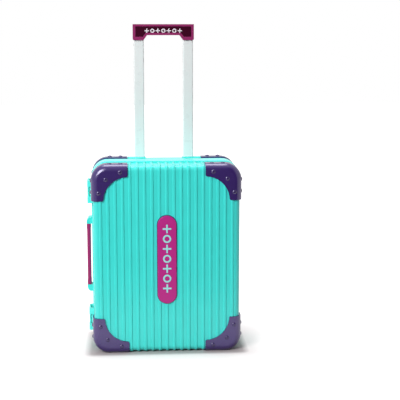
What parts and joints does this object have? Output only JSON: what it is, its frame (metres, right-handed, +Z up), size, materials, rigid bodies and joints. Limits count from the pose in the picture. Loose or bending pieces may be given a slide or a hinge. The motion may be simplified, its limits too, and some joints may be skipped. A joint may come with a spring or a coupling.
{
  "type": "toy doctor case",
  "caption": "Child's toy trolley case with a ribbed clamshell body, corner guards, pull-out handle, side handle, latches and rear wheels.",
  "frame": {"origin": "on the floor, under the middle of the case's width and of its depth over the two shells", "axes": "+X to the hinge side, +Y to the back with the pull handle, +Z up; the lid faces -Y"},
  "size_m": [0.2663, 0.1418, 0.559],
  "materials": {
    "shell_mint": "moulded, soft gloss",
    "frame_mint": "moulded, soft gloss, a little paler",
    "guard_purple": "moulded, high gloss",
    "rivet_purple": "moulded domes, high gloss",
    "badge_magenta": "moulded, satin gloss",
    "latch_mint": "moulded, slightly milky",
    "grip_magenta": "moulded, satin gloss",
    "grip_plate_maroon": "moulded, gloss",
    "bail_magenta": "moulded, satin gloss",
    "tube_milky": "milky clear plastic tube",
    "inner_plastic": "plain moulded",
    "pin_steel": "plain bright steel",
    "tyre_dark": "soft plastic tyre"
  },
  "bodies": {
    "case": {"mid_frame": "frame_mint", "back_shell": "shell_mint", "back_guard_top_left": "guard_purple", "back_guard_top_right": "guard_purple", "back_guard_bottom_left": "guard_purple", "back_guard_bottom_right": "guard_purple", "back_rivets": "rivet_purple", "wheel_housing_left": "guard_purple", "wheel_housing_right": "guard_purple", "wheel_axle_left": "pin_steel", "wheel_axle_right": "pin_steel", "tube_sleeve_left": "inner_plastic", "tube_sleeve_right": "inner_plastic", "tube_collar_left": "frame_mint", "tube_collar_right": "frame_mint", "side_handle_mount_top": "shell_mint", "side_handle_mount_bottom": "shell_mint", "latch_bracket_upper": "latch_mint", "latch_bracket_lower": "latch_mint", "latch_pin_upper": "pin_steel", "latch_pin_lower": "pin_steel", "hinge_pin_upper": "pin_steel", "hinge_pin_lower": "pin_steel", "frame_screws": "pin_steel"},
    "lid": {"front_shell": "shell_mint", "front_guard_top_left": "guard_purple", "front_guard_top_right": "guard_purple", "front_guard_bottom_left": "guard_purple", "front_guard_bottom_right": "guard_purple", "front_rivets": "rivet_purple", "badge": "badge_magenta", "lid_catch_upper": "latch_mint", "lid_catch_lower": "latch_mint"},
    "pull_handle": {"grip": "grip_magenta", "grip_plate": "grip_plate_maroon", "tube_left": "tube_milky", "tube_right": "tube_milky", "tube_stop_left": "inner_plastic", "tube_stop_right": "inner_plastic"},
    "side_handle": {"side_handle": "bail_magenta"},
    "latch_upper": {"latch_upper": "latch_mint"},
    "latch_lower": {"latch_lower": "latch_mint"},
    "wheel_left": {"wheel_hub_left": "badge_magenta", "tyre_left": "tyre_dark"},
    "wheel_right": {"wheel_hub_right": "badge_magenta", "tyre_right": "tyre_dark"}
  },
  "joints": [
    {"name": "lid_hinge", "type": "hinge", "parent": "case", "child": "lid", "pos_m": [0.1255, -0.018, 0.1635], "axis": [0, 0, 1], "range_deg": [0, 110]},
    {"name": "pull_handle_slide", "type": "slide", "parent": "case", "child": "pull_handle", "axis": [0, 0, 1], "range_m": [-0.205, 0]},
    {"name": "side_handle_fold", "type": "hinge", "parent": "case", "child": "side_handle", "pos_m": [-0.1335, 0.006, 0.1635], "axis": [0, 0, -1], "range_deg": [0, 90]},
    {"name": "latch_upper_pivot", "type": "hinge", "parent": "case", "child": "latch_upper", "pos_m": [-0.1319, 0.003, 0.2755], "axis": [0, 0, -1], "range_deg": [0, 100]},
    {"name": "latch_lower_pivot", "type": "hinge", "parent": "case", "child": "latch_lower", "pos_m": [-0.1319, 0.003, 0.0515], "axis": [0, 0, -1], "range_deg": [0, 100]},
    {"name": "wheel_left_spin", "type": "hinge", "parent": "case", "child": "wheel_left", "pos_m": [-0.098, 0.053, 0.02], "axis": [1, 0, 0], "continuous": true},
    {"name": "wheel_right_spin", "type": "hinge", "parent": "case", "child": "wheel_right", "pos_m": [0.098, 0.053, 0.02], "axis": [1, 0, 0], "continuous": true}
  ]
}
